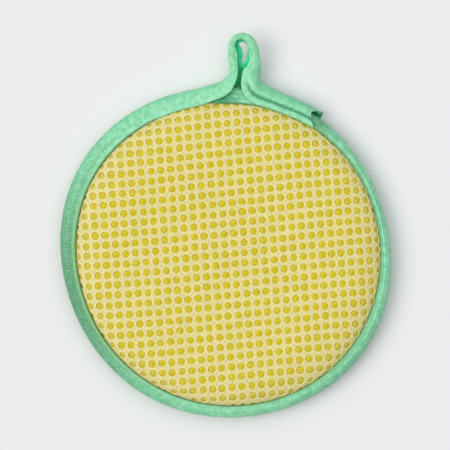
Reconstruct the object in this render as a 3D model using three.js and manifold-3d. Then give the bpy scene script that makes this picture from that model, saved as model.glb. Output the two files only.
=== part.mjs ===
// A round kitchen sponge. A foam disc lies between two discs of knitted net, and one
// ribbed elastic tape, folded over the edge, binds them. The far end of the same tape
// stands off the rim as the hanging loop and comes back down over its own start.
// Millimetres, +Z up. The origin is the middle of the flat back, on the table, and the
// loop points along +Y.

import * as THREE from "three";
import { mergeGeometries, mergeVertices } from "three/addons/utils/BufferGeometryUtils.js";
import Module from "manifold-3d";

const wasm = await Module();
wasm.setup();

const { cos, sin, sqrt, hypot, min, max, PI } = Math;
const RADIANS = PI / 180;

// The pad
const PAD_RADIUS = 64.4; // where the domed net runs out into its flat flange
const SEAM_HEIGHT = 7.2; // the middle of the seam over the table
const FRONT_CROWN = 6.6; // rise of the front face over its flange
const SHOULDER_POWER = 8; // the higher, the squarer the shoulder of the front face
const REST_RADIUS = 48; // the flat part of the back
const BACK_POWER = 2.2; // roundness of the back between the flat and the flange
const FLANGE_WIDTH = 1.5; // net caught between the two walls of the tape
const CLEARANCE = 0.3; // between pieces that touch

// The net
const NET_THICKNESS = 1.0;
const ROW_PITCH = 4.12; // from hole to hole along a row
const COLUMN_PITCH = 4.28; // from row to row
const ROW_RISE = 6.0; // degrees that the rows climb to the right
const COLUMN_LEAN = 3.2; // degrees that the columns lean to the left
const NET_SHIFT = [-1.2, -0.8]; // the hole nearest the middle of the pad
const HOLE_DIAMETER = 2.9; // at the outer face of the net
const HOLE_SIDES = 5;
const HOLE_DEPTH = 0.75;
const HOLE_MARGIN = 2.1; // from the middle of the last hole to the flange

// The tape, folded along its length over the edge of the pad
const TAPE_WALL = 0.9;
const FOLD_HEIGHT = 2.6; // from the seam to the middle of a wall, at the fold
const FOLD_ROUND = 1.6; // how far in the fold reaches its full height
const TAPE_SLACK = 4.1; // from the edge of the net out to the fold
const TAPE_GRIP = 0.8; // of the pad's margin that the two edges of the tape cover
const RIM_OUTER = PAD_RADIUS + FLANGE_WIDTH + TAPE_SLACK; // mean radius of the fold
const RIM_INNER = PAD_RADIUS - TAPE_GRIP; // mean radius of the edges of the tape
const LOOP_FOLD_HEIGHT = 1.1; // the fold pressed together in the loop
const LOOP_HEIGHT = 12.6; // the far end of the loop, which stands up off the table
const TAPE_START = 95; // degrees round the pad, under the loop's left leg
const RIM_END = 101; // degrees, where the tape starts to leave the rim
const FOLD_FACES = 3; // flats round the fold
const RIM_STEP = 7; // degrees between two sections on the rim
const END_SLANT = 5; // how far the upper wall is cut back at the free end
const SLANT_SECTIONS = 6; // sections over which the cut end leans

const NET_COLOUR = 0xe9dc98;
const FOAM_COLOUR = 0xe3cf32;
const TAPE_COLOUR = 0x95d6b3;

// The hand-sewn rim is a little out of round: lobes, how far they swell, and the
// direction in degrees of one swelling.
const OUTER_WAVES = [
  { lobes: 1, swell: 0.95, at: 178 },
  { lobes: 2, swell: 1.4, at: 135 },
  { lobes: 4, swell: 0.45, at: 149 },
];
const INNER_WAVES = [
  { lobes: 2, swell: 0.73, at: 145 },
  { lobes: 3, swell: 0.32, at: 155 },
  { lobes: 4, swell: 0.29, at: 145 },
];

function wavy(radius, waves, angle) {
  return waves.reduce((r, w) => r + w.swell * cos(w.lobes * (angle - w.at) * RADIANS), radius);
}
const rimOuter = (angle) => wavy(RIM_OUTER, OUTER_WAVES, angle);
const rimInner = (angle) => wavy(RIM_INNER, INNER_WAVES, angle);

// Faces of the pad, as heights measured from the seam. The front is a squarish dome,
// and the back is flat with a rounded margin. An inset brings the margin inwards.
function frontRise(r, inset = 0) {
  const share = min(1, r / (PAD_RADIUS - inset));
  return sqrt(1 - share ** SHOULDER_POWER);
}
function backRise(r, inset = 0) {
  const share = min(1, max(0, (r - REST_RADIUS) / (PAD_RADIUS - inset - REST_RADIUS)));
  return sqrt(1 - share ** BACK_POWER);
}
const FLANGE_OUTSIDE = CLEARANCE / 2 + NET_THICKNESS;
const BACK_CROWN = SEAM_HEIGHT - FLANGE_OUTSIDE;
const netFrontHeight = (r) => FLANGE_OUTSIDE + FRONT_CROWN * frontRise(r);
const netBackDepth = (r) => FLANGE_OUTSIDE + BACK_CROWN * backRise(r);

// A solid turned about Z from rings { r, z, sides }, listed from the bottom middle,
// out and over to the top middle. Rings may have different numbers of sides.
function turned(rings) {
  const places = [];
  const faces = [];
  const loops = rings.map(({ r, z, sides }) => {
    const count = r === 0 ? 1 : sides;
    return Array.from({ length: count }, (_, k) => {
      const a = (2 * PI * k) / count;
      return places.push(r * cos(a), r * sin(a), z) / 3 - 1;
    });
  });
  for (let n = 0; n + 1 < loops.length; n += 1) {
    const [a, b] = [loops[n], loops[n + 1]];
    const [ends, others] = [a.length > 1 ? a.length : 0, b.length > 1 ? b.length : 0];
    let [i, j] = [0, 0];
    while (i < ends || j < others) {
      const here = a[i % a.length];
      const there = b[j % b.length];
      if (j >= others || (i < ends && (i + 1) * others <= (j + 1) * ends)) {
        i += 1;
        faces.push(here, a[i % a.length], there);
      } else {
        j += 1;
        faces.push(here, b[j % b.length], there);
      }
    }
  }
  const geometry = new THREE.BufferGeometry();
  geometry.setAttribute("position", new THREE.Float32BufferAttribute(places, 3));
  geometry.setIndex(faces);
  return geometry;
}

// Rings of a face as shares of its radius. Inside the first the front is level.
const RIM_SIDES = 48;
const FRONT_RINGS = [
  { share: 0.6, sides: RIM_SIDES / 2 },
  { share: 0.79, sides: RIM_SIDES / 2 },
  { share: 0.9, sides: RIM_SIDES / 2 },
  { share: 0.96, sides: RIM_SIDES },
  { share: 0.99, sides: RIM_SIDES },
  { share: 1, sides: RIM_SIDES },
];
const BACK_RINGS = [
  { share: 0, sides: RIM_SIDES / 2 },
  { share: 0.4, sides: RIM_SIDES / 2 },
  { share: 0.75, sides: RIM_SIDES },
  { share: 1, sides: RIM_SIDES },
];

// A face from its middle out to its margin, with heights measured from the seam.
function frontFace(base, rise, inset) {
  const reach = PAD_RADIUS - inset;
  const rings = FRONT_RINGS.map(({ share, sides }) => {
    const r = share * reach;
    return { r, z: SEAM_HEIGHT + base + rise * frontRise(r, inset), sides };
  });
  return [{ r: 0, z: rings[0].z }, ...rings];
}
function backFace(base, rise, inset) {
  const reach = PAD_RADIUS - inset - REST_RADIUS;
  const rings = BACK_RINGS.map(({ share, sides }) => {
    const r = REST_RADIUS + share * reach;
    return { r, z: SEAM_HEIGHT - base - rise * backRise(r, inset), sides };
  });
  return [{ r: 0, z: rings[0].z }, ...rings];
}
function flangeEdge(height) {
  return { r: PAD_RADIUS + FLANGE_WIDTH, z: SEAM_HEIGHT + height, sides: RIM_SIDES };
}

function solidOf(geometry) {
  const bare = geometry.clone();
  bare.deleteAttribute("normal");
  bare.deleteAttribute("uv");
  const merged = mergeVertices(bare, 1e-4);
  return new wasm.Manifold(
    new wasm.Mesh({
      numProp: 3,
      vertProperties: new Float32Array(merged.attributes.position.array),
      triVerts: new Uint32Array(merged.index.array),
    }),
  );
}
function geometryOf(solid) {
  const mesh = solid.getMesh();
  const geometry = new THREE.BufferGeometry();
  geometry.setAttribute("position", new THREE.BufferAttribute(mesh.vertProperties, 3));
  geometry.setIndex(new THREE.BufferAttribute(mesh.triVerts, 1));
  return geometry;
}

// The middle of a hole. The holes stand in rows and columns that are not quite square,
// and the cloth is pulled by its binding: column and row are counted from the middle.
function holePlace(column, row) {
  const along = column * ROW_PITCH;
  const up = row * COLUMN_PITCH;
  const i = along / PAD_RADIUS;
  const j = up / PAD_RADIUS;
  const pullX = -0.9 * i * i - 0.5 * i ** 3;
  const pullY = 0.4 * i * i + 0.6 * i * j - 0.7 * j * j
    - i ** 3 - 0.7 * i * i * j + 0.7 * i * j * j - 0.8 * j ** 3;
  return new THREE.Vector2(
    NET_SHIFT[0] + along * cos(ROW_RISE * RADIANS) - up * sin(COLUMN_LEAN * RADIANS) + pullX,
    NET_SHIFT[1] + along * sin(ROW_RISE * RADIANS) + up * cos(COLUMN_LEAN * RADIANS) + pullY,
  );
}

// Pointed hollows for all holes, each square to the net where it lies.
function holeCutters() {
  const overshoot = 0.3;
  const mouth = (HOLE_DIAMETER / 2) * ((HOLE_DEPTH + overshoot) / HOLE_DEPTH);
  const reach = PAD_RADIUS - HOLE_MARGIN;
  const most = Math.ceil(PAD_RADIUS / min(ROW_PITCH, COLUMN_PITCH)) + 1;
  const cutters = [];
  for (let row = -most; row <= most; row += 1) {
    for (let column = -most; column <= most; column += 1) {
      const place = holePlace(column, row);
      const r = place.length();
      if (r > reach) continue;
      const step = 0.05;
      const slope = (netFrontHeight(r + step) - netFrontHeight(r - step)) / (2 * step);
      const out = place.clone().normalize();
      const normal = new THREE.Vector3(-slope * out.x, -slope * out.y, 1).normalize();
      const cutter = new THREE.ConeGeometry(mouth, HOLE_DEPTH + overshoot, HOLE_SIDES);
      cutter.rotateX(-PI / 2);
      cutter.translate(0, 0, (overshoot - HOLE_DEPTH) / 2);
      const turn = new THREE.Quaternion().setFromUnitVectors(new THREE.Vector3(0, 0, 1), normal);
      cutter.applyQuaternion(turn);
      cutter.translate(place.x, place.y, SEAM_HEIGHT + netFrontHeight(r));
      cutters.push(cutter);
    }
  }
  return solidOf(mergeGeometries(cutters));
}

function frontMesh() {
  const underside = frontFace(CLEARANCE / 2, FRONT_CROWN, NET_THICKNESS);
  const outside = frontFace(FLANGE_OUTSIDE, FRONT_CROWN, 0);
  const shell = turned([
    ...underside,
    flangeEdge(CLEARANCE / 2),
    flangeEdge(FLANGE_OUTSIDE),
    ...outside.reverse(),
  ]);
  return geometryOf(solidOf(shell).subtract(holeCutters()));
}

function backMesh() {
  const outside = backFace(FLANGE_OUTSIDE, BACK_CROWN, 0);
  const inside = backFace(CLEARANCE / 2, BACK_CROWN, NET_THICKNESS);
  return turned([
    ...outside,
    flangeEdge(-FLANGE_OUTSIDE),
    flangeEdge(-CLEARANCE / 2),
    ...inside.reverse(),
  ]);
}

function foamCore() {
  const inset = NET_THICKNESS + CLEARANCE;
  const under = backFace(0, BACK_CROWN - CLEARANCE / 2, inset);
  const over = frontFace(0, FRONT_CROWN - CLEARANCE / 2, inset);
  return turned([...under, ...over.reverse().slice(1)]);
}

// Sections of the tape. Each stands where the fold is, and its two walls run inwards
// to the right of the tape's course: above and below are their widths, fold is half
// the height of the fold, and lipAbove and lipBelow are how far the edges lie from
// the level of the fold.
const lipLevel = (surface) => surface + CLEARANCE + TAPE_WALL / 2;

function rimSection(angle) {
  const outer = rimOuter(angle);
  const inner = rimInner(angle);
  return {
    place: new THREE.Vector3(outer * cos(angle * RADIANS), outer * sin(angle * RADIANS), SEAM_HEIGHT),
    above: outer - inner,
    below: outer - inner,
    fold: FOLD_HEIGHT,
    lipAbove: lipLevel(netFrontHeight(inner)),
    lipBelow: lipLevel(netBackDepth(inner)),
  };
}

// The height of a fold that takes the first layer between its own walls.
const STRADDLE = FOLD_HEIGHT + TAPE_WALL + CLEARANCE;

// The second layer lies over the first from the foot of the loop to the cut end. It
// stands out past the first layer and reaches in as far as its edge.
function overlapSection(angle, standOut, width) {
  const first = rimSection(angle);
  const outer = rimOuter(angle) + standOut;
  const shoulder = FOLD_ROUND + TAPE_WALL / 2;
  const share = min(1, max(0, (width - standOut - shoulder) / (first.above - shoulder)));
  return {
    place: new THREE.Vector3(outer * cos(angle * RADIANS), outer * sin(angle * RADIANS), SEAM_HEIGHT),
    above: width,
    below: width,
    fold: STRADDLE,
    lipAbove: STRADDLE + share * (first.lipAbove - FOLD_HEIGHT),
    lipBelow: STRADDLE + share * (first.lipBelow - FOLD_HEIGHT),
  };
}

// The loop, from the last section on the rim to the foot of its right leg. x and out
// are measured from the top of the rim, and lift is the share of the way up from the
// seam to the far end of the loop. As the tape leaves the rim it still straddles its
// own start, and in the loop it is pressed together. A flare lifts the edges of the two
// walls over what lies between them.
const LOOP = [
  { x: -8.0, out: 0.7, lift: 0, above: 7.0, below: 7.0, fold: STRADDLE, flare: 1.7 },
  { x: -5.0, out: 1.5, lift: 0, above: 6.7, below: 6.8, fold: STRADDLE, flare: 1.9 },
  { x: -2.3, out: 2.8, lift: 0.02, above: 6.0, below: 6.2, fold: 3.5, flare: 1.5 },
  { x: 0.1, out: 5.2, lift: 0.13, above: 4.6, below: 5.0, fold: 2.6, flare: 0.6 },
  { x: 0.65, out: 8.7, lift: 0.3, above: 3.4, below: 4.9, fold: 1.3, flare: 0 },
  { x: 0.1, out: 12.4, lift: 0.5, above: 3.7, below: 5.9, fold: LOOP_FOLD_HEIGHT, flare: 0 },
  { x: 0.1, out: 16.4, lift: 0.72, above: 2.7, below: 6.1, fold: LOOP_FOLD_HEIGHT, flare: 0 },
  { x: 1.0, out: 19.3, lift: 0.89, above: 2.3, below: 5.0, fold: LOOP_FOLD_HEIGHT, flare: 0 },
  { x: 3.0, out: 21.4, lift: 1, above: 2.3, below: 4.6, fold: LOOP_FOLD_HEIGHT, flare: 0 },
  { x: 5.9, out: 22.4, lift: 1, above: 2.8, below: 3.9, fold: LOOP_FOLD_HEIGHT, flare: 0 },
  { x: 9.0, out: 21.5, lift: 1, above: 3.2, below: 3.7, fold: LOOP_FOLD_HEIGHT, flare: 0 },
  { x: 11.4, out: 19.2, lift: 0.91, above: 3.8, below: 3.8, fold: LOOP_FOLD_HEIGHT, flare: 0 },
  { x: 12.7, out: 16.4, lift: 0.76, above: 4.3, below: 4.3, fold: LOOP_FOLD_HEIGHT, flare: 0 },
  { x: 13.3, out: 13.2, lift: 0.61, above: 4.2, below: 5.4, fold: LOOP_FOLD_HEIGHT, flare: 0 },
  { x: 13.75, out: 10.2, lift: 0.48, above: 5.2, below: 7.2, fold: LOOP_FOLD_HEIGHT, flare: 0 },
  { x: 13.7, out: 7.3, lift: 0.33, above: 6.7, below: 7.7, fold: 1.5, flare: 0.2 },
  { x: 13.4, out: 4.6, lift: 0.17, above: 8.0, below: 8.1, fold: 2.4, flare: 0.9 },
];
const OVERLAP = [
  { angle: 78.6, standOut: 3.8, width: 9.6 },
  { angle: 76.4, standOut: 3.1, width: 9.3 },
  { angle: 73.5, standOut: 2.5, width: 8.7 },
  { angle: 70.5, standOut: 2.1, width: 8.3 },
  { angle: 66.0, standOut: 2.2, width: 8.1 },
  { angle: 61.0, standOut: 2.4, width: 7.9 },
  { angle: 55.5, standOut: 2.7, width: 7.7 },
];
const LOOP_SAMPLES = 2;

function loopSection({ x, out, lift, above, below, fold, flare }) {
  const height = SEAM_HEIGHT + lift * (LOOP_HEIGHT - SEAM_HEIGHT);
  const place = new THREE.Vector3(x, RIM_OUTER + out, height);
  return { place, above, below, fold, lipAbove: fold + flare, lipBelow: fold + flare };
}

// Smooths a run of sections by adding samples between them.
function smoothed(sections, samples) {
  const course = new THREE.CatmullRomCurve3(sections.map((s) => s.place), false, "centripetal");
  const widths = sections.map((s) => new THREE.Vector3(s.above, s.below, s.fold));
  const lips = sections.map((s) => new THREE.Vector3(s.lipAbove, s.lipBelow, 0));
  const count = (sections.length - 1) * samples;
  return Array.from({ length: count + 1 }, (_, k) => {
    const from = min(sections.length - 2, Math.floor(k / samples));
    const share = k / samples - from;
    const width = widths[from].clone().lerp(widths[from + 1], share);
    const lip = lips[from].clone().lerp(lips[from + 1], share);
    return {
      place: course.getPoint(k / count),
      above: width.x,
      below: width.y,
      fold: width.z,
      lipAbove: lip.x,
      lipBelow: lip.y,
    };
  });
}

function tapeSections() {
  const turn = 360 - (RIM_END - TAPE_START);
  const steps = Math.round(turn / RIM_STEP);
  const rim = Array.from({ length: steps + 1 }, (_, k) => rimSection(TAPE_START - (turn * k) / steps));
  const overlap = OVERLAP.map((o) => overlapSection(o.angle, o.standOut, o.width));
  const free = smoothed([rim.at(-1), ...LOOP.map(loopSection), ...overlap], LOOP_SAMPLES);
  return [...rim, ...free.slice(1)];
}

// One section as a closed outline of points { inwards, up }, first along the outside
// of the wall from the upper edge round the fold to the lower edge, then back inside.
function tapeOutline({ above, below, fold, lipAbove, lipBelow }) {
  const middle = [{ inwards: above, up: lipAbove }];
  const round = min(FOLD_ROUND, fold);
  for (let angle = 90; angle <= 270; angle += 180 / FOLD_FACES) {
    middle.push({
      inwards: TAPE_WALL / 2 + round * (1 + cos(angle * RADIANS)),
      up: fold * sin(angle * RADIANS),
    });
  }
  middle.push({ inwards: below, up: -lipBelow });
  const offset = (side) => middle.map((point, k) => {
    const before = middle[max(0, k - 1)];
    const after = middle[min(middle.length - 1, k + 1)];
    const length = hypot(after.inwards - before.inwards, after.up - before.up);
    const across = (side * TAPE_WALL) / 2 / length;
    return {
      inwards: point.inwards + (after.up - before.up) * across,
      up: point.up - (after.inwards - before.inwards) * across,
    };
  });
  return [...offset(1), ...offset(-1).reverse()];
}

function bindingTape() {
  const sections = tapeSections();
  const places = [];
  const rings = sections.map((section, n) => {
    const before = sections[max(0, n - 1)].place;
    const after = sections[min(sections.length - 1, n + 1)].place;
    const course = new THREE.Vector2(after.x - before.x, after.y - before.y).normalize();
    const lean = END_SLANT * max(0, 1 - (sections.length - 1 - n) / SLANT_SECTIONS);
    return tapeOutline(section).map(({ inwards, up }) => {
      const back = (lean * max(0, up)) / section.lipAbove;
      return places.push(
        section.place.x + course.y * inwards - course.x * back,
        section.place.y - course.x * inwards - course.y * back,
        section.place.z + up,
      ) / 3 - 1;
    });
  });
  const faces = [];
  const sides = rings[0].length;
  const quad = (a, b, c, d) => faces.push(a, c, b, a, d, c);
  for (let n = 0; n + 1 < rings.length; n += 1) {
    for (let k = 0; k < sides; k += 1) {
      const next = (k + 1) % sides;
      quad(rings[n][k], rings[n][next], rings[n + 1][next], rings[n + 1][k]);
    }
  }
  const [first, last] = [rings[0], rings.at(-1)];
  for (let k = 0; k < sides / 2 - 1; k += 1) {
    const across = sides - 1 - k;
    quad(first[k], first[across], first[across - 1], first[k + 1]);
    quad(last[k], last[k + 1], last[across - 1], last[across]);
  }
  const geometry = new THREE.BufferGeometry();
  geometry.setAttribute("position", new THREE.Float32BufferAttribute(places, 3));
  geometry.setIndex(faces);
  return geometry;
}

function piece(name, geometry, color, roughness) {
  const material = new THREE.MeshStandardMaterial({ color, roughness, metalness: 0 });
  const mesh = new THREE.Mesh(geometry, material);
  mesh.name = name;
  return mesh;
}

const sponge = new THREE.Group();
sponge.add(
  piece("foam_core", foamCore(), FOAM_COLOUR, 0.95),
  piece("back_mesh", backMesh(), NET_COLOUR, 0.8),
  piece("front_mesh", frontMesh(), NET_COLOUR, 0.8),
  piece("binding_tape", bindingTape(), TAPE_COLOUR, 0.6),
);

export default sponge;
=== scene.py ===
"""A round kitchen sponge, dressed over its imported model.

A yellow foam disc shows through the round holes of a cream warp-knit net. A mint-green
ribbed elastic tape, folded over the rim, binds it and stands off as the hanging loop.
All sizes are in millimetres and are turned to metres where a mesh is made.
"""

import math

import bmesh
import bpy
import numpy as np
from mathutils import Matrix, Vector


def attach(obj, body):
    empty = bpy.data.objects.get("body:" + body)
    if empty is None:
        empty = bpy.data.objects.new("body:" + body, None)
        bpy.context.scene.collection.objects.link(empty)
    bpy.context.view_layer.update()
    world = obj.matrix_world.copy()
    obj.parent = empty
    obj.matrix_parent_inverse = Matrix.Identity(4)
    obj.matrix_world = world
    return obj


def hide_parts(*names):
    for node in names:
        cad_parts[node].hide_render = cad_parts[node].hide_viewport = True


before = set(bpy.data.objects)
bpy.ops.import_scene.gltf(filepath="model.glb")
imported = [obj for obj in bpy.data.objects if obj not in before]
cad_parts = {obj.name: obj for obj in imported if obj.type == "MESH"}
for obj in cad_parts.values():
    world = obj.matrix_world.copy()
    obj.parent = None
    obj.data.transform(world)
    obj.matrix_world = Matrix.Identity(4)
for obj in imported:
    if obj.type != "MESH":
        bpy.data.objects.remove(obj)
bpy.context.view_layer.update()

MM = 0.001
RNG = np.random.default_rng(7)

# The pad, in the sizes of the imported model
PAD_RADIUS = 64.4
SEAM_HEIGHT = 7.2
FRONT_CROWN = 6.6
SHOULDER_POWER = 8
REST_RADIUS = 48.0
BACK_POWER = 2.2
CLEARANCE = 0.3
NET_THICKNESS = 1.0
FLANGE_OUTSIDE = CLEARANCE / 2 + NET_THICKNESS
BACK_CROWN = SEAM_HEIGHT - FLANGE_OUTSIDE
FLANGE_GATHER = 2.0  # the net ends this far out from the foot of the dome
FLANGE_EASE = 3.0  # length of net over which it is gathered there
GATHER_LENGTH = 12.0  # length of net that the profile goes on for in the seam
LEVEL_RADIUS = 60.0  # the front net lies as it does in plan inside this radius
FILL_FROM = 50.0  # from here out the pad swells towards the tape's front edge
FILL_OVER = 14.0
FILL_PAST = 0.3  # how far it goes past that edge, under the tape

# The net
ROW_PITCH = 4.12
COLUMN_PITCH = 4.28
ROW_RISE = math.radians(6.0)
COLUMN_LEAN = math.radians(3.2)
NET_SHIFT = (-1.2, -0.8)
NET_REACH = 72.0  # middle of the last hole, measured along the cloth
HOLE_RADIUS = 1.42
HOLE_WANDER = 0.06  # how far a hole strays from its place
HOLE_VARIES = 0.03  # how much its size and roundness vary, as a share
CELL_SIDES = 16
CLOSING_FROM = 61.0  # where the taut cloth begins to close its holes
CLOSING_OVER = 6.5
CLOSED_SHARE = 0.7  # share of a hole that is lost at the seam
NET_UNDERSIDE = -0.85  # lift of the net's inner face off its outer one
BACK_TURN = math.radians(17)  # the back net was cut at another angle
FOAM_SINK = -0.88  # the foam under the yarns, below the outer face of the net
FOAM_SWELL = 0.74  # how far it swells in the middle of a hole
FOAM_BACK = -1.15  # lift of the foam's back off the outer face of the back net
SWELL_REACH = 1.66  # radius within which it swells

# The tape
TAPE_WALL = 0.9
FOLD_HEIGHT = 2.6
FOLD_ROUND = 1.6
RIM_OUTER = 70.0
RIM_INNER = 63.6
LOOP_FOLD_HEIGHT = 1.1
LOOP_HEIGHT = 12.6
TAPE_START = 95.0
RIM_END = 101.0
END_SLANT = 5.0
SLANT_LENGTH = 14.0
STRADDLE = FOLD_HEIGHT + TAPE_WALL + CLEARANCE
RIB_PITCH = 0.78
RIB_SAMPLES = 4
RIB_HEIGHT = 0.08
SELVAGE = 0.9  # plain edge of the tape
RIBS_BEGIN = 0.8  # width beside it over which the ribs rise
LOOSE_LENGTH = 112.0  # the loop and the second layer, where the tape isn't pulled
SEAM_SHARE = 0.42  # where the stitches pull a wall in, from its edge to the fold
OUTER_WAVES = ((1, 0.95, 178), (2, 1.4, 135), (4, 0.45, 149))
INNER_WAVES = ((2, 0.73, 145), (3, 0.32, 155), (4, 0.29, 145))
# Places in the row of numbers that describes a section of the tape
ABOVE, FOLD, LIP_ABOVE, LIP_BELOW, SEAM = 3, 5, 6, 7, 9


def linear(text):
    """An sRGB hex colour as linear red, green, blue and alpha."""
    parts = [int(text[k : k + 2], 16) / 255 for k in (0, 2, 4)]
    return [p / 12.92 if p <= 0.04045 else ((p + 0.055) / 1.055) ** 2.4 for p in parts] + [1.0]


def add(tree, kind, settings=None, links=None):
    """Adds a node with its settings, and links or sets its inputs."""
    made = tree.nodes.new(kind)
    for name, value in (settings or {}).items():
        setattr(made, name, value)
    for name, value in (links or {}).items():
        if isinstance(value, bpy.types.NodeSocket):
            tree.links.new(value, made.inputs[name])
        else:
            made.inputs[name].default_value = value
    return made


def surface(name):
    """A new material with a bare Principled shader, and its tree."""
    material = bpy.data.materials.new(name)
    material.use_nodes = True
    tree = material.node_tree
    shader = next(n for n in tree.nodes if n.type == "BSDF_PRINCIPLED")
    return material, tree, shader


def make_piece(name, places, faces, material, uv=None, shades=None):
    """A mesh object from places in millimetres. uv has a pair for each face corner, and
    shades is a dict of values for each point."""
    mesh = bpy.data.meshes.new(name)
    mesh.from_pydata((np.asarray(places) * MM).tolist(), [], faces)
    mesh.polygons.foreach_set("use_smooth", [True] * len(mesh.polygons))
    if uv is not None:
        layer = mesh.uv_layers.new(name="UVMap")
        layer.data.foreach_set("uv", np.asarray(uv, np.float32).ravel())
    for title, values in (shades or {}).items():
        attribute = mesh.attributes.new(title, "FLOAT", "POINT")
        attribute.data.foreach_set("value", np.asarray(values, np.float32))
    mesh.materials.append(material)
    mesh.update()
    piece = bpy.data.objects.new(name, mesh)
    bpy.context.scene.collection.objects.link(piece)
    return piece


# The faces of the pad


def front_profile():
    """The outside of the front net from its middle out: radius and height."""
    turn = np.linspace(0.0, math.pi / 2, 90)
    radius = PAD_RADIUS * np.sin(turn) ** (2 / SHOULDER_POWER)
    return radius, SEAM_HEIGHT + FLANGE_OUTSIDE + FRONT_CROWN * np.cos(turn)


def back_profile():
    """The outside of the back net from its middle out: radius and height."""
    turn = np.linspace(0.0, math.pi / 2, 60)
    radius = REST_RADIUS + (PAD_RADIUS - REST_RADIUS) * np.sin(turn) ** (2 / BACK_POWER)
    height = SEAM_HEIGHT - FLANGE_OUTSIDE - BACK_CROWN * np.cos(turn)
    return np.r_[0.0, radius], np.r_[height[0], height]


def front_rise(radius):
    """How far the front net stands above the seam at a radius."""
    share = np.minimum(1.0, radius / PAD_RADIUS)
    return FLANGE_OUTSIDE + FRONT_CROWN * np.sqrt(1 - share**SHOULDER_POWER)


def back_depth(radius):
    """How far the back net hangs below the seam at a radius."""
    share = np.clip((radius - REST_RADIUS) / (PAD_RADIUS - REST_RADIUS), 0.0, 1.0)
    return FLANGE_OUTSIDE + BACK_CROWN * np.sqrt(1 - share**BACK_POWER)


class Drape:
    """Lays flat cloth over a face: inside level_radius as it is in plan, and past it by
    its length along the profile, then gathered into the seam. On the front the pad
    swells out to the edge of the tape, which isn't quite round."""

    def __init__(self, profile, level_radius, outwards):
        radius, height = profile
        self.fills_out = outwards > 0
        gather = np.linspace(0.0, GATHER_LENGTH, 40)[1:]
        seam_radius = radius[-1] + FLANGE_GATHER * (1 - np.exp(-gather / FLANGE_EASE))
        past = radius > level_radius
        start = np.interp(level_radius, radius, height)
        r = np.r_[level_radius, radius[past]]
        z = np.r_[start, height[past]]
        length = level_radius + np.r_[0.0, np.cumsum(np.hypot(np.diff(r), np.diff(z)))]
        inner = np.linspace(0.0, level_radius, 80)[:-1]
        self.length = np.r_[inner, length, length[-1] + gather]
        self.radius = np.r_[inner, r, seam_radius]
        self.height = np.r_[np.interp(inner, radius, height), z, np.full(len(gather), z[-1])]
        tangent_r = np.gradient(self.radius)
        tangent_z = np.gradient(self.height)
        size = np.hypot(tangent_r, tangent_z)
        self.lean = -outwards * tangent_z / size
        self.upright = outwards * tangent_r / size

    def place(self, flat, lift):
        """Where flat points land, each lifted off the face by its own lift."""
        reach = np.maximum(np.hypot(flat[:, 0], flat[:, 1]), 1e-9)
        along = flat / reach[:, None]
        radius = np.interp(reach, self.length, self.radius)
        height = np.interp(reach, self.length, self.height)
        lean = np.interp(reach, self.length, self.lean)
        upright = np.interp(reach, self.length, self.upright)
        if self.fills_out:
            angle = np.degrees(np.arctan2(flat[:, 1], flat[:, 0]))
            wide = np.maximum(0.0, front_edge(angle) - PAD_RADIUS + FILL_PAST)
            radius = radius + wide * np.clip((reach - FILL_FROM) / FILL_OVER, 0, 1) ** 2
        radius = radius + lift * lean
        return np.c_[along * radius[:, None], height + lift * upright]


def hole_place(column, row):
    """The middle of a hole in plan. Columns and rows may be fractions."""
    along = column * ROW_PITCH
    up = row * COLUMN_PITCH
    i = along / PAD_RADIUS
    j = up / PAD_RADIUS
    pull_x = -0.9 * i**2 - 0.5 * i**3
    pull_y = 0.4 * i**2 + 0.6 * i * j - 0.7 * j**2
    pull_y = pull_y - i**3 - 0.7 * i**2 * j + 0.7 * i * j**2 - 0.8 * j**3
    x = NET_SHIFT[0] + along * math.cos(ROW_RISE) - up * math.sin(COLUMN_LEAN) + pull_x
    y = NET_SHIFT[1] + along * math.sin(ROW_RISE) + up * math.cos(COLUMN_LEAN) + pull_y
    return np.stack([x, y], axis=-1)


def net_cells():
    """Column and row of every hole of a net."""
    most = math.ceil(NET_REACH / ROW_PITCH) + 2
    column, row = np.meshgrid(np.arange(-most, most + 1), np.arange(-most, most + 1))
    column, row = column.ravel(), row.ravel()
    near = np.hypot(*hole_place(column, row).T) < NET_REACH
    return column[near], row[near]


# Rings of a cell from the foot of its hole out, over the yarn that edges it: how far
# out from the edge of the hole, and the lift off the net's outer face.
CELL_RINGS = ((0.10, -0.85), (0.0, -0.45), (0.05, -0.18), (0.17, -0.03), (0.34, 0.0))
STRAND_HALF = 0.75  # from the edge of a hole to the edge of its cell
STRAND_LIFT = -0.07  # between two holes of a row or column
DIAMOND_LIFT = -0.16  # in the middle of four holes


def perimeter():
    """The edge of a cell as CELL_SIDES steps round a square, in quarters of a cell."""
    steps = []
    for x, y, across, up in ((2, -2, 0, 1), (2, 2, -1, 0), (-2, 2, 0, -1), (-2, -2, 1, 0)):
        steps += [(x + across * k, y + up * k) for k in range(4)]
    return np.roll(np.array(steps), -2, axis=0)


def openness(flat):
    """The binding pulls the net taut at the rim, which nearly closes its holes."""
    reach = np.hypot(flat[..., 0], flat[..., 1])
    taut = np.clip((reach - CLOSING_FROM) / CLOSING_OVER, 0, 1)
    return 1 - CLOSED_SHARE * taut**1.3


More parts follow.
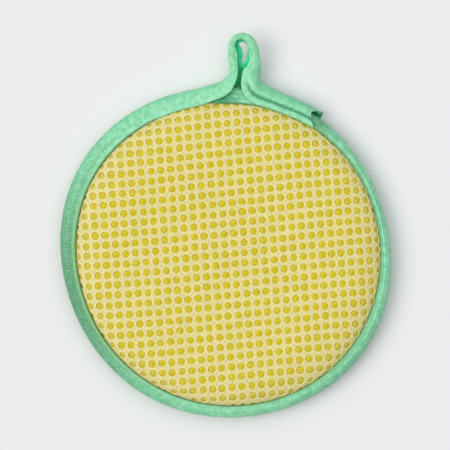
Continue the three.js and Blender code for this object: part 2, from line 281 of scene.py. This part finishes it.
def net(name, drape, material, mirrored):
    """A net as one closed cloth: yarn rings round the holes, sunk between them."""
    columns, rows = net_cells()
    square = perimeter()
    angle = np.arctan2(square[:, 1], square[:, 0])
    # A knitted hole is rounder than its cell, but its yarns lean to the corners a little.
    angle = angle - 0.05 * np.sin(4 * angle)
    flat, lift, shade, foam_light = [], [], [], []
    for column, row in zip(columns, rows):
        middle = hole_place(column, row) + RNG.normal(0.0, HOLE_WANDER, 2)
        radius = HOLE_RADIUS * (1 + RNG.normal(0.0, HOLE_VARIES)) * float(openness(middle))
        squash = 1 + RNG.normal(0.0, HOLE_VARIES)
        for out, up in CELL_RINGS:
            size = radius + out
            points = np.c_[np.cos(angle) * size * squash, np.sin(angle) * size / squash]
            flat.append(middle + points)
            lift.append(np.full(CELL_SIDES, up))
            shade.append(np.full(CELL_SIDES, 0.0 if up < -0.3 else 0.35))
            # Painted yellow foam light, through yarn that thins towards the foot of its hole.
            foam_light.append(np.full(CELL_SIDES, min(1.0, -2.6 * up)))
    flat, lift, shade, foam_light = [np.concatenate(x) for x in (flat, lift, shade, foam_light)]
    corner_keys = {}
    extra_flat, extra_lift, extra_shade = [], [], []
    start = len(flat)
    for column, row in zip(columns, rows):
        for dx, dy in square:
            key = (4 * column + dx, 4 * row + dy)
            if key in corner_keys:
                continue
            corner_keys[key] = start + len(extra_flat)
            corner = min(abs(dx), abs(dy)) / 2
            extra_flat.append(hole_place(key[0] / 4, key[1] / 4))
            extra_lift.append(STRAND_LIFT + (DIAMOND_LIFT - STRAND_LIFT) * corner)
            extra_shade.append(0.55 + 0.45 * corner)
    under = start + len(extra_flat)
    flat = np.concatenate([flat, extra_flat, extra_flat])
    lift = np.concatenate([lift, extra_lift, np.full(len(extra_flat), NET_UNDERSIDE)])
    shade = np.concatenate([shade, extra_shade, extra_shade])
    foam_light = np.concatenate([foam_light, np.zeros(2 * len(extra_flat))])
    lift = lift + settle(flat)
    if mirrored:
        flat = flat * (-1, 1)
        cos, sin = math.cos(BACK_TURN), math.sin(BACK_TURN)
        flat = flat @ np.array([[cos, sin], [-sin, cos]])
    faces, uv = [], []
    distance = [out for out, _ in CELL_RINGS] + [STRAND_HALF]
    ring_count = len(CELL_RINGS)
    edges = [
        [corner_keys[(4 * column + dx, 4 * row + dy)] for dx, dy in square]
        for column, row in zip(columns, rows)
    ]
    borders = {pair for edge in edges for pair in zip(edge, edge[1:] + edge[:1])}
    for n, edge in enumerate(edges):
        first = n * ring_count * CELL_SIDES
        starts = [first + k * CELL_SIDES for k in range(ring_count)]
        rings = [list(range(s, s + CELL_SIDES)) for s in starts]
        rings.append(edge)
        rings.append([e - start + under for e in edge])
        for k in range(len(rings)):
            inner, outer = rings[k], rings[(k + 1) % len(rings)]
            v0 = distance[min(k, ring_count)]
            v1 = distance[min(k + 1, ring_count)]
            for a in range(CELL_SIDES):
                b = (a + 1) % CELL_SIDES
                if k == ring_count and (inner[b], inner[a]) in borders:
                    continue  # the next cell goes on here
                faces.append((inner[a], outer[a], outer[b], inner[b]))
                u0, u1 = a / CELL_SIDES, (a + 1) / CELL_SIDES
                uv += [(u0, v0), (u0, v1), (u1, v1), (u1, v0)]
    places = drape.place(flat, lift)
    piece = make_piece(name, places, faces, material, uv, {"diamond": shade, "foam_light": foam_light})
    face_out(piece)
    return piece


def settle(flat):
    """Soft, slight unevenness of the pad under its net, as a lift."""
    x, y = flat[:, 0] / 1000, flat[:, 1] / 1000
    waves = np.sin(170 * x + 1.3) * np.sin(140 * y + 0.4) + 0.6 * np.sin(310 * x - 260 * y)
    return 0.12 * (waves - 1.6) * np.clip((58 - np.hypot(*flat.T)) / 20, 0, 1)


def face_out(piece):
    """Turns all faces outwards."""
    work = bmesh.new()
    work.from_mesh(piece.data)
    bmesh.ops.recalc_face_normals(work, faces=work.faces)
    work.to_mesh(piece.data)
    work.free()


def foam(front, back, material):
    """The foam disc. It fills the net, and swells a little into the net's holes."""
    sectors = 512
    turn = np.arange(sectors) * 2 * math.pi / sectors
    around = np.c_[np.cos(turn), np.sin(turn)]
    front_rings = np.r_[np.linspace(0.8, 60.0, 80), np.linspace(60.5, 66.0, 12)]
    back_rings = np.r_[np.linspace(65.0, 48.0, 12), 30.0, 12.0]
    sides = (
        [(front, r, FOAM_SINK + FOAM_SWELL * bulge(around * r)) for r in front_rings]
        + [(back, r, np.full(sectors, FOAM_BACK)) for r in back_rings]
    )
    middle = np.zeros((1, 2))
    top = front.place(middle, np.array([FOAM_SINK + FOAM_SWELL]))
    under = back.place(middle, np.array([FOAM_BACK]))
    rings = [drape.place(around * r, lift) for drape, r, lift in sides]
    places = np.vstack([top, *rings, under])
    faces = []
    last = 1 + (len(rings) - 1) * sectors
    for k in range(sectors):
        nxt = (k + 1) % sectors
        faces.append((0, 1 + k, 1 + nxt))
        for a in range(1, last, sectors):
            faces.append((a + k, a + sectors + k, a + sectors + nxt, a + nxt))
        faces.append((last + nxt, last + k, len(places) - 1))
    piece = make_piece("foam_disc", places, faces, material)
    face_out(piece)
    return piece


def bulge(flat):
    """1 at the middle of a hole of the front net, falling to 0 under its yarns."""
    x, y = (flat - np.array(NET_SHIFT)).T
    spread = math.cos(ROW_RISE) * math.cos(COLUMN_LEAN)
    spread += math.sin(ROW_RISE) * math.sin(COLUMN_LEAN)
    column = (x * math.cos(COLUMN_LEAN) + y * math.sin(COLUMN_LEAN)) / spread / ROW_PITCH
    row = (y * math.cos(ROW_RISE) - x * math.sin(ROW_RISE)) / spread / COLUMN_PITCH
    nearest = np.full(len(flat), 9.0)
    for dx in (-1, 0, 1):
        for dy in (-1, 0, 1):
            middle = hole_place(np.round(column) + dx, np.round(row) + dy)
            nearest = np.minimum(nearest, np.hypot(*(flat - middle).T))
    swell = np.clip(1.6 - 1.6 * (nearest / SWELL_REACH) ** 2, 0, 1)
    return swell * (openness(flat) - (1 - CLOSED_SHARE)) / CLOSED_SHARE


# The tape. Its course is the outer edge of the fold, and its two walls run inwards to
# the right of the course.


def wavy(radius, waves, angle):
    """A radius with its waves: each has its count, its swell and where it is highest."""
    return radius + sum(swell * np.cos(n * np.radians(angle - at)) for n, swell, at in waves)


def on_plan(radius, angle):
    """x and y at a radius and an angle in degrees."""
    return radius * math.cos(math.radians(angle)), radius * math.sin(math.radians(angle))


def front_edge(angle):
    """The tape's front edge, which was folded a little less far in than the back one,
    most at the bottom."""
    less = 0.65 + 0.25 * np.cos(np.radians(angle)) - 0.6 * np.sin(np.radians(angle))
    return wavy(RIM_INNER, INNER_WAVES, angle) + less


def rim_row(angle):
    """A section on the rim: x, y, z, width above and below, half the fold's height, the
    level of the edges above and below, how far the walls puff, and how deep the seam is."""
    outer = wavy(RIM_OUTER, OUTER_WAVES, angle)
    inner = wavy(RIM_INNER, INNER_WAVES, angle)
    front_inner = front_edge(angle)
    x, y = on_plan(outer, angle)
    lip_radius = min(front_inner, PAD_RADIUS - 0.4)
    lip_above = float(front_rise(lip_radius)) + CLEARANCE + TAPE_WALL / 2
    lip_below = float(back_depth(inner)) + CLEARANCE + TAPE_WALL / 2
    above, below = outer - front_inner, outer - inner
    # The stitches of the second layer also press the first one flat.
    pressed = math.exp(-(((angle - 66) / 13) ** 6))
    puff, seam = 0.35 - 0.35 * pressed, 0.12 + 0.33 * pressed
    return [x, y, SEAM_HEIGHT, above, below, FOLD_HEIGHT, lip_above, lip_below, puff, seam]


def overlap_row(angle, stand_out, width):
    """A section of the second layer, which takes the first between its walls."""
    first = rim_row(angle)
    outer = wavy(RIM_OUTER, OUTER_WAVES, angle) + stand_out
    x, y = on_plan(outer, angle)
    shoulder = FOLD_ROUND + TAPE_WALL / 2
    share = min(1.0, max(0.0, (width - stand_out - shoulder) / (first[ABOVE] - shoulder)))
    lip_above = STRADDLE + share * (first[LIP_ABOVE] - FOLD_HEIGHT)
    lip_below = STRADDLE + share * (first[LIP_BELOW] - FOLD_HEIGHT)
    return [x, y, SEAM_HEIGHT, width, width, STRADDLE, lip_above, lip_below, 0.9, 0.6]


def loop_row(x, out, lift, above, below, fold, flare):
    """A section of the loop, measured from the top of the rim. lift is its share of the
    way up from the seam to the far end of the loop."""
    height = SEAM_HEIGHT + lift * (LOOP_HEIGHT - SEAM_HEIGHT)
    puff = 0.15 + 0.06 * above
    return [x, RIM_OUTER + out, height, above, below, fold, fold + flare, fold + flare, puff, 0.0]


# From the left foot of the loop up, round its far end and down its right leg
LOOP = (
    loop_row(-8.0, 0.7, 0.0, 7.0, 7.0, STRADDLE, 1.7),
    loop_row(-5.0, 1.5, 0.0, 6.7, 6.8, STRADDLE, 1.9),
    loop_row(-2.3, 2.8, 0.02, 6.0, 6.2, 3.5, 1.5),
    loop_row(0.1, 5.2, 0.13, 3.9, 5.6, 2.6, 0.6),
    loop_row(0.65, 8.7, 0.3, 3.2, 4.9, 1.3, 0.0),
    loop_row(0.1, 12.4, 0.5, 3.7, 5.9, LOOP_FOLD_HEIGHT, 0.0),
    loop_row(0.2, 17.0, 0.75, 2.6, 5.2, LOOP_FOLD_HEIGHT, 0.0),
    loop_row(1.2, 19.8, 0.92, 2.3, 4.0, LOOP_FOLD_HEIGHT, 0.0),
    loop_row(3.1, 21.5, 1.0, 2.3, 3.7, LOOP_FOLD_HEIGHT, 0.0),
    loop_row(5.9, 22.4, 1.0, 2.8, 3.6, LOOP_FOLD_HEIGHT, 0.0),
    loop_row(9.0, 21.5, 1.0, 3.2, 3.7, LOOP_FOLD_HEIGHT, 0.0),
    loop_row(11.4, 19.2, 0.91, 3.8, 3.8, LOOP_FOLD_HEIGHT, 0.0),
    loop_row(12.7, 16.4, 0.76, 4.3, 4.3, LOOP_FOLD_HEIGHT, 0.0),
    loop_row(13.3, 13.2, 0.61, 4.2, 5.4, LOOP_FOLD_HEIGHT, 0.0),
    loop_row(13.75, 10.2, 0.48, 4.8, 7.2, LOOP_FOLD_HEIGHT, 0.0),
    loop_row(13.7, 7.3, 0.33, 6.0, 8.0, 1.5, 0.2),
    loop_row(13.4, 4.6, 0.17, 7.5, 8.8, 2.4, 0.9),
)
# The second layer to its cut end: angle, how far it stands out, and its width
OVERLAP = (
    (78.6, 3.8, 9.3),
    (76.4, 3.1, 9.3),
    (73.5, 2.5, 8.7),
    (70.5, 2.1, 8.3),
    (66.0, 2.2, 8.1),
    (61.0, 2.4, 7.9),
    (55.5, 2.7, 7.7),
)


def smooth_run(rows, samples):
    """A smooth run through rows of numbers, with cubic stretches between them."""
    rows = np.array(rows)
    padded = np.vstack([2 * rows[0] - rows[1], rows, 2 * rows[-1] - rows[-2]])
    t = np.linspace(0, 1, samples, endpoint=False)[:, None]
    stretches = []
    for a, b, c, d in zip(padded, padded[1:], padded[2:], padded[3:]):
        lead, lag = (c - a) / 2, (d - b) / 2
        second = 3 * (c - b) - 2 * lead - lag
        third = 2 * (b - c) + lead + lag
        stretches.append(b + lead * t + second * t**2 + third * t**3)
    return np.vstack(stretches + [rows[-1:]])


def even_steps(rows, step):
    """The same run with sections at equal steps along it, and the distance run."""
    run = np.r_[0.0, np.cumsum(np.linalg.norm(np.diff(rows[:, :3], axis=0), axis=1))]
    count = int(round(run[-1] / step))
    where = np.linspace(0.0, run[-1], count + 1)
    return np.stack([np.interp(where, run, column) for column in rows.T], axis=1), where


def tape_run():
    """All sections of the tape, from its hidden start to its cut end."""
    turn = 360 - (RIM_END - TAPE_START)
    rim = [rim_row(TAPE_START - turn * k / 360) for k in range(361)]
    free = smooth_run([rim[-1], *LOOP, *[overlap_row(*o) for o in OVERLAP]], 40)
    rows = np.vstack([rim, free[1:]])
    return even_steps(rows, RIB_PITCH / RIB_SAMPLES)


WALL_SHARES = (0.0, 0.16, 0.3, SEAM_SHARE, 0.54, 0.7, 0.86)  # from the edge to the fold
FOLD_STEPS = 6  # round the fold


def wall_swell(share, puff, seam):
    """How far a wall stands off the straight line from its edge to the fold."""
    dip = seam * math.exp(-(((share - SEAM_SHARE) / 0.11) ** 2))
    if share < SEAM_SHARE:
        return 0.4 * puff * math.sin(math.pi * share / SEAM_SHARE) - dip
    return puff * math.sin(math.pi * (share - SEAM_SHARE) / (1 - SEAM_SHARE)) - dip


def wall_line(rows):
    """The middle of the tape's wall in each section, as (inwards, up), from the upper
    edge round the fold to the lower edge."""
    above, below, fold, lip_above, lip_below, puff, seam = rows[:, 3:10].T
    points = []
    round_in = np.minimum(FOLD_ROUND, fold)
    foot = TAPE_WALL / 2 + round_in
    for share in WALL_SHARES:
        rise = lip_above + (fold - lip_above) * share + wall_swell(share, puff, seam)
        points.append(np.stack([above + (foot - above) * share, rise], axis=1))
    for k in range(FOLD_STEPS + 1):
        angle = math.pi * (0.5 + k / FOLD_STEPS)
        reach = TAPE_WALL / 2 + round_in * (1 + math.cos(angle))
        points.append(np.stack([reach, fold * math.sin(angle)], axis=1))
    for share in WALL_SHARES[::-1]:
        drop = lip_below + (fold - lip_below) * share + wall_swell(share, puff, seam)
        points.append(np.stack([below + (foot - below) * share, -drop], axis=1))
    return np.stack(points, axis=1)


def tape(material):
    """The binding tape with its cross ribs, as one closed cloth."""
    rows, run = tape_run()
    line = wall_line(rows)
    along = np.gradient(line, axis=1)
    along /= np.linalg.norm(along, axis=2, keepdims=True)
    outward = np.stack([along[:, :, 1], -along[:, :, 0]], axis=2)
    # Distance across the cloth from its upper edge, and its share of the whole width
    step = np.linalg.norm(np.diff(line, axis=1), axis=2)
    across = np.concatenate([np.zeros((len(rows), 1)), np.cumsum(step, axis=1)], axis=1)
    from_edge = np.minimum(across, across[:, -1:] - across)
    # The edges of the tape are a plain selvage, and the ribs lie between them.
    ribbed = np.clip((from_edge - SELVAGE) / RIBS_BEGIN, 0, 1)
    strength = 0.75 + 0.25 * np.sin(run / 9.0) * np.sin(run / 23.0 + 1)
    rib = (RIB_HEIGHT * strength * np.cos(2 * math.pi * run / RIB_PITCH))[:, None] * ribbed
    outside = line + outward * (TAPE_WALL / 2 + rib)[:, :, None]
    # The inner face needs only every second point, and the one at each seam.
    at_seam = WALL_SHARES.index(SEAM_SHARE)
    seams = {at_seam, line.shape[1] - 1 - at_seam}
    keep = sorted(seams.union(range(0, line.shape[1], 2)), reverse=True)
    inside = (line - outward * (TAPE_WALL / 2))[:, keep]
    low_tip = line[:, -1] + along[:, -1] * 0.3
    high_tip = line[:, 0] - along[:, 0] * 0.3
    outline = np.concatenate([outside, low_tip[:, None], inside, high_tip[:, None]], axis=1)
    sides = outline.shape[1]
    course = np.gradient(rows[:, :2], axis=0)
    course /= np.linalg.norm(course, axis=1, keepdims=True)
    inwards, up = outline[:, :, 0], outline[:, :, 1]
    # The end is cut back over the top of the fold, and less towards the edge.
    lean = END_SLANT * np.clip(1 - (run[-1] - run) / SLANT_LENGTH, 0, 1)
    toward_edge = np.clip((inwards - 2) / (rows[:, ABOVE, None] - 2), 0, 1)
    height = np.clip(up / rows[:, FOLD, None], 0, 1)
    back = lean[:, None] * height * (1 - 0.85 * toward_edge**1.5)
    x = rows[:, 0:1] + course[:, 1:2] * inwards - course[:, 0:1] * back
    y = rows[:, 1:2] - course[:, 0:1] * inwards - course[:, 1:2] * back
    z = rows[:, 2:3] + up
    places = np.stack([x, y, z], axis=2).reshape(-1, 3)
    width = across[:, -1:]
    over = np.concatenate([across, width, across[:, keep], 0 * width], axis=1) / 10
    faces, uv = [], []
    stations = len(rows)
    # The inner face, which the material paints a brighter, deeper green for bounced light.
    hidden = np.zeros((stations, sides))
    hidden[:, outside.shape[1] + 1 : -1] = 1
    # Painted shade in the seam's groove, where the stitches pull the walls in.
    seam_shade = np.zeros((stations, sides))
    near_seam = np.exp(-(((np.array(WALL_SHARES) - SEAM_SHARE) / 0.13) ** 2))
    # Painted shade: the start, under the left foot of the loop, has the deep green of a fold.
    start = 0.8 * np.clip(1.6 - run / 9, 0, 1)[:, None]
    seam_shade[:, : len(WALL_SHARES)] = np.maximum(1.7 * rows[:, SEAM, None] * near_seam, start)
    for k in range(sides):
        nxt = (k + 1) % sides
        a = np.arange(stations - 1) * sides
        faces.append(np.stack([a + k, a + nxt, a + sides + nxt, a + sides + k], axis=1))
        u0, u1 = run[:-1] / 10, run[1:] / 10
        corners = [u0, over[:-1, k], u0, over[:-1, nxt], u1, over[1:, nxt], u1, over[1:, k]]
        uv.append(np.stack(corners, axis=1))
    faces = np.stack(faces, axis=1).reshape(-1, 4)[:, ::-1].tolist()
    uv = np.stack(uv, axis=1).reshape(-1, 4, 2)[:, ::-1].reshape(-1, 2).tolist()
    ends = [list(range(sides)), list(range(len(places) - sides, len(places)))[::-1]]
    for end in ends:
        faces.append(end)
        uv += [(0.0, 0.0)] * sides
    pulled = np.repeat(stretch(rows, run), sides)
    shades = {"hidden_side": hidden.ravel(), "stretch": pulled, "seam": seam_shade.ravel()}
    return make_piece("tape_ribbed", places, faces, material, uv, shades), run


def stretch(rows, run):
    """How far the tape is pulled along its length, which opens the grooves between its
    ribs: most round the left and the bottom left, and hardly in the loop. The material
    paints more shade where it is high."""
    angle = np.degrees(np.arctan2(rows[:, 1], rows[:, 0])) % 360
    pull = 0.32 + 0.68 * np.exp(-(((angle - 195) / 42) ** 2))
    pull = pull - 0.06 * np.exp(-(((angle - 135) / 24) ** 2))
    pull = pull + 0.5 * np.exp(-(((angle - 56) / 7) ** 2))
    pull = pull + 0.18 * np.exp(-(((angle - 315) / 28) ** 2))
    return np.where(run > run[-1] - LOOSE_LENGTH, 0.12, pull)


# Materials


def mix(tree, factor, first, second):
    """Mixes two colours, each a colour or a socket."""
    links = {"Factor": factor, 6: first, 7: second}
    return add(tree, "ShaderNodeMix", {"data_type": "RGBA"}, links).outputs[2]


def ramp(tree, value, low, high, start=0.0, end=1.0):
    """Runs from start to end as the value goes from low to high, and no further."""
    span = {"Value": value, "From Min": low, "From Max": high, "To Min": start, "To Max": end}
    return add(tree, "ShaderNodeMapRange", {}, span).outputs["Result"]


def maths(tree, operation, first, second=0.0):
    """One sum on values or sockets."""
    return add(tree, "ShaderNodeMath", {"operation": operation}, {0: first, 1: second}).outputs[0]


def times(tree, first, second):
    """The product of two values or sockets."""
    return maths(tree, "MULTIPLY", first, second)


def point_value(tree, title):
    """A value that make_piece stored for each point."""
    return add(tree, "ShaderNodeAttribute", {"attribute_name": title}).outputs["Fac"]


def noise(tree, place, size, detail=2.0):
    """Cloudy noise with lumps of the given size in millimetres, from 0 to 1."""
    links = {"Vector": place, "Scale": 1 / (size * MM), "Detail": detail}
    return add(tree, "ShaderNodeTexNoise", {}, links).outputs["Fac"]


def net_material():
    """Warp-knit polyester net of textured filament yarn: soft cream with a little sheen,
    flecked pinkish and greenish by its small loops, with painted grey-green shade in the
    gaps between its loops, deepest between four holes, and painted yellow light that the
    foam bounces through its yarn, which thins at the edge of a hole."""
    material, tree, shader = surface("knit_polyester_net")
    place = add(tree, "ShaderNodeTexCoord").outputs["Object"]
    stitch = {"Vector": place, "Scale": 1 / (0.7 * MM)}
    loops = add(tree, "ShaderNodeTexVoronoi", {"feature": "F1"}, stitch).outputs["Distance"]
    diamond = point_value(tree, "diamond")
    foam_light = point_value(tree, "foam_light")
    pinkish = ramp(tree, noise(tree, place, 0.9), 0.38, 0.62)
    warm = mix(tree, pinkish, linear("f1e596"), linear("f6dc9b"))
    greenish = ramp(tree, noise(tree, place, 0.62, 1.0), 0.5, 0.68, 0.0, 0.75)
    yarn = mix(tree, greenish, warm, linear("c8d37c"))
    # Painted shade in the small gaps between the yarn's loops, deepest between four holes.
    between = ramp(tree, diamond, 0.5, 1.0, 0.3, 0.6)
    gap_shade = times(tree, ramp(tree, loops, 0.3, 0.62), between)
    knit = mix(tree, gap_shade, yarn, linear("bfc088"))
    # Painted light: the foam's yellow, bounced through the yarn at the foot of a hole.
    tree.links.new(mix(tree, foam_light, knit, linear("e0cf58")), shader.inputs["Base Color"])
    relief = {"Height": loops, "Strength": 0.6, "Distance": 0.1 * MM}
    bump = add(tree, "ShaderNodeBump", {"invert": True}, relief)
    tree.links.new(bump.outputs["Normal"], shader.inputs["Normal"])
    shader.inputs["Roughness"].default_value = 0.75
    shader.inputs["Sheen Weight"].default_value = 0.15
    shader.inputs["Sheen Roughness"].default_value = 0.5
    return material


def foam_material():
    """Open-cell polyurethane foam, cut from a block: dull, full yellow, pitted by cells
    of about half a millimetre, with painted shade in the middle of each pit."""
    material, tree, shader = surface("open_cell_foam")
    place = add(tree, "ShaderNodeTexCoord").outputs["Object"]
    pitch = {"Vector": place, "Scale": 1 / (0.6 * MM)}
    cells = add(tree, "ShaderNodeTexVoronoi", {"feature": "DISTANCE_TO_EDGE"}, pitch)
    wall = ramp(tree, cells.outputs["Distance"], 0.02, 0.25)
    clouds = ramp(tree, noise(tree, place, 2.5), 0.35, 0.65)
    tint = mix(tree, clouds, linear("e4d62a"), linear("ddc41f"))
    # Painted shade: darker in the middle of each cell's pit.
    full = mix(tree, wall, tint, linear("cfbd1a"))
    # Squeezed between its nets at the rim, it looks paler and greener.
    reach = add(tree, "ShaderNodeVectorMath", {"operation": "LENGTH"}, {0: place}).outputs["Value"]
    squeezed = ramp(tree, reach, 58 * MM, 65 * MM, 0.0, 0.75)
    tree.links.new(mix(tree, squeezed, full, linear("cdc55c")), shader.inputs["Base Color"])
    relief = {"Height": wall, "Strength": 0.5, "Distance": 0.15 * MM}
    bump = add(tree, "ShaderNodeBump", {"invert": True}, relief)
    tree.links.new(bump.outputs["Normal"], shader.inputs["Normal"])
    shader.inputs["Roughness"].default_value = 0.9
    return material


def tape_material():
    """Woven elastic tape of polyester over rubber threads: mint green with a soft
    sheen, with painted shade in the grooves between its cross ribs where it is stretched,
    painted darker where it is pulled most and towards the fold, yellower at its stretched
    edges, with a painted dark line of shade along its edge and in the seam's groove, and
    a deeper, brighter green painted on the inside of the fold for light bounced there.
    Small dark pricks show where the needle went through."""
    material, tree, shader = surface("ribbed_elastic_tape")
    uv = add(tree, "ShaderNodeUVMap", {"uv_map": "UVMap"})
    split = add(tree, "ShaderNodeSeparateXYZ", {}, {"Vector": uv.outputs["UV"]})
    along, across = split.outputs["X"], split.outputs["Y"]
    place = add(tree, "ShaderNodeTexCoord").outputs["Object"]
    pulled, hidden, seam = [point_value(tree, n) for n in ("stretch", "hidden_side", "seam")]
    # Painted shade in the grooves between the ribs, deeper where the tape is pulled open.
    groove = ramp(tree, waves(tree, along, RIB_PITCH), -0.9, 0.5, 1.0, 0.0)
    # Ribs run unbroken only for a few millimetres, so the grooves come and go.
    broken = ramp(tree, noise(tree, place, 0.9, 3.0), 0.36, 0.58)
    selvage = ramp(tree, across, 0.08, 0.2)
    depth = times(tree, times(tree, times(tree, groove, broken), selvage), pulled)
    patches = ramp(tree, noise(tree, place, 2.2, 3.0), 0.36, 0.64)
    mint = mix(tree, patches, linear("9eecbe"), linear("80d6a4"))
    # Where it lies loose, the raised yarns catch the light as rows of small dots.
    dots = times(tree, waves(tree, along, 1.1), waves(tree, across, 1.0))
    loose = ramp(tree, pulled, 0.15, 0.5, 1.0, 0.0)
    dots = times(tree, ramp(tree, dots, 0.3, 0.9, 0.0, 0.4), loose)
    dotted = mix(tree, dots, mint, linear("c6fbd9"))
    # Painted shade: a deeper green towards the fold, where the wall turns away from the light.
    pale = mix(tree, ramp(tree, across, 0.42, 0.85, 0.0, 0.45), dotted, linear("5cc795"))
    # Painted shade: darker and duller where the pull is high, round the left and bottom left.
    pull_shaded = mix(tree, ramp(tree, pulled, 0.35, 1.0, 0.0, 0.85), pale, linear("66a87a"))
    edge = mix(tree, ramp(tree, pulled, 0.3, 0.9), dotted, linear("86bf7c"))
    ribbed = mix(tree, depth, mix(tree, selvage, edge, pull_shaded), linear("246a46"))
    # Painted shade: a dark olive line along the very edge, where it meets the net, not in the loop.
    at_edge = ramp(tree, across, 0.01, 0.05, 0.7, 0.0)
    edge_shade = times(tree, at_edge, ramp(tree, pulled, 0.14, 0.3))
    turned = mix(tree, edge_shade, ribbed, linear("4f7f3e"))
    # Painted shade: deep green in the seam's groove and at the hidden start.
    fold = mix(tree, ramp(tree, seam, 0.2, 0.9, 0.0, 0.9), turned, linear("198c5a"))
    prick = ramp(tree, noise(tree, place, 0.45, 1.0), 0.57, 0.67, 0.0, 0.8)
    stitched = times(tree, prick, ramp(tree, seam, 0.1, 0.28))
    pricked = mix(tree, stitched, fold, linear("1f6a48"))
    # Painted light: a brighter, more saturated green inside the fold, for light bounced there.
    tree.links.new(mix(tree, hidden, pricked, linear("26e09c")), shader.inputs["Base Color"])
    yarn = {"Height": noise(tree, place, 0.35, 2.0), "Strength": 0.35, "Distance": 0.08 * MM}
    bump = add(tree, "ShaderNodeBump", {}, yarn)
    tree.links.new(bump.outputs["Normal"], shader.inputs["Normal"])
    shader.inputs["Roughness"].default_value = 0.6
    shader.inputs["Sheen Weight"].default_value = 0.15
    return material


def waves(tree, centimetres, pitch):
    """A cosine of a coordinate in centimetres, with its pitch in millimetres."""
    return maths(tree, "COSINE", times(tree, centimetres, 20 * math.pi / pitch))


# The studio


CAMERA_DISTANCE = 0.8
PHOTO_PIXELS = 450
PIXEL_SIZE = 0.4214  # what one of them covers at the height of the rim
PHOTO_WIDTH = PHOTO_PIXELS * PIXEL_SIZE * MM
VIEW_MIDDLE = Vector((-1.26 * MM, 11.59 * MM, 9.0 * MM))
SENSOR = 36.0
TABLE_HALF = 3.0
SKY_LEAST = 0.144  # strength of the sky away from its brightest part
SKY_MOST = 1.63  # what the brightest part adds
SKY_FOCUS = 3.4  # how quickly it falls off
SKY_BRIGHTEST = (-0.08, 0.18, 0.97)
SKY_COLOUR = (0.985, 0.998, 1.016, 1.0)
KEY_STRENGTH = 1.05
KEY_SPREAD = 38  # degrees across, which softens its shadow
KEY_DIRECTION = (-0.60, -0.07, 0.79)
KEY_COLOUR = (1.03, 1.0, 0.965)


def camera():
    """Looks straight down from above, with the photo's frame."""
    data = bpy.data.cameras.new("camera")
    data.sensor_width = SENSOR
    data.lens = SENSOR * CAMERA_DISTANCE / PHOTO_WIDTH
    data.clip_start = 0.05
    data.clip_end = 20.0
    eye = bpy.data.objects.new("camera", data)
    eye.location = VIEW_MIDDLE + Vector((0, 0, CAMERA_DISTANCE))
    bpy.context.scene.collection.objects.link(eye)
    bpy.context.scene.camera = eye


def floor():
    """A plain pale table. The camera sees it in the photo's flat grey."""
    material, _, shader = surface("pale_table")
    shader.inputs["Base Color"].default_value = linear("ededed")
    shader.inputs["Roughness"].default_value = 1.0
    shader.inputs["Specular IOR Level"].default_value = 0.0
    corners = [(TABLE_HALF * i, TABLE_HALF * j, 0) for i, j in ((-1, -1), (1, -1), (1, 1), (-1, 1))]
    mesh = bpy.data.meshes.new("table")
    mesh.from_pydata(corners, [], [(0, 1, 2, 3)])
    mesh.materials.append(material)
    table = bpy.data.objects.new("table", mesh)
    table.location.z = -0.02 * MM
    bpy.context.scene.collection.objects.link(table)


def sun(name, strength, spread, direction, colour):
    """A far lamp that shines from a direction, spread degrees across."""
    data = bpy.data.lights.new(name, "SUN")
    data.energy = strength
    data.angle = math.radians(spread)
    data.color = colour
    lamp = bpy.data.objects.new(name, data)
    lamp.rotation_euler = Vector(direction).to_track_quat("Z", "Y").to_euler()
    bpy.context.scene.collection.objects.link(lamp)


def studio():
    """A soft sky, brightest overhead a little to the upper left, and a broad key from
    the left. The sky is a little bluer than the key, which tints the shadow."""
    world = bpy.data.worlds.new("studio")
    world.use_nodes = True
    tree = world.node_tree
    place = add(tree, "ShaderNodeTexCoord").outputs["Generated"]
    links = {0: place, 1: tuple(Vector(SKY_BRIGHTEST).normalized())}
    toward = add(tree, "ShaderNodeVectorMath", {"operation": "DOT_PRODUCT"}, links)
    facing = maths(tree, "MAXIMUM", toward.outputs["Value"], 0.0)
    lobe = maths(tree, "POWER", facing, SKY_FOCUS)
    sky = maths(tree, "ADD", times(tree, lobe, SKY_MOST), SKY_LEAST)
    tree.links.new(sky, tree.nodes["Background"].inputs["Strength"])
    tree.nodes["Background"].inputs["Color"].default_value = SKY_COLOUR
    bpy.context.scene.world = world
    sun("key", KEY_STRENGTH, KEY_SPREAD, KEY_DIRECTION, KEY_COLOUR)


def dress():
    """Makes the four pieces, hangs each on the root body, and hides the part of the
    imported model that it replaces.
    """
    net_look = net_material()
    front_drape = Drape(front_profile(), LEVEL_RADIUS, 1)
    back_drape = Drape(back_profile(), REST_RADIUS, -1)
    front = net("net_front", front_drape, net_look, False)
    back = net("net_back", back_drape, net_look, True)
    disc = foam(front_drape, back_drape, foam_material())
    binding, run = tape(tape_material())
    for piece, node, slot in (
        (front, "front_mesh", "net"),
        (back, "back_mesh", "net"),
        (disc, "foam_core", "foam"),
        (binding, "binding_tape", "tape"),
    ):
        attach(piece, "root")
        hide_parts(node)


bpy.context.scene.view_settings.view_transform = "Standard"
camera()
floor()
studio()
dress()
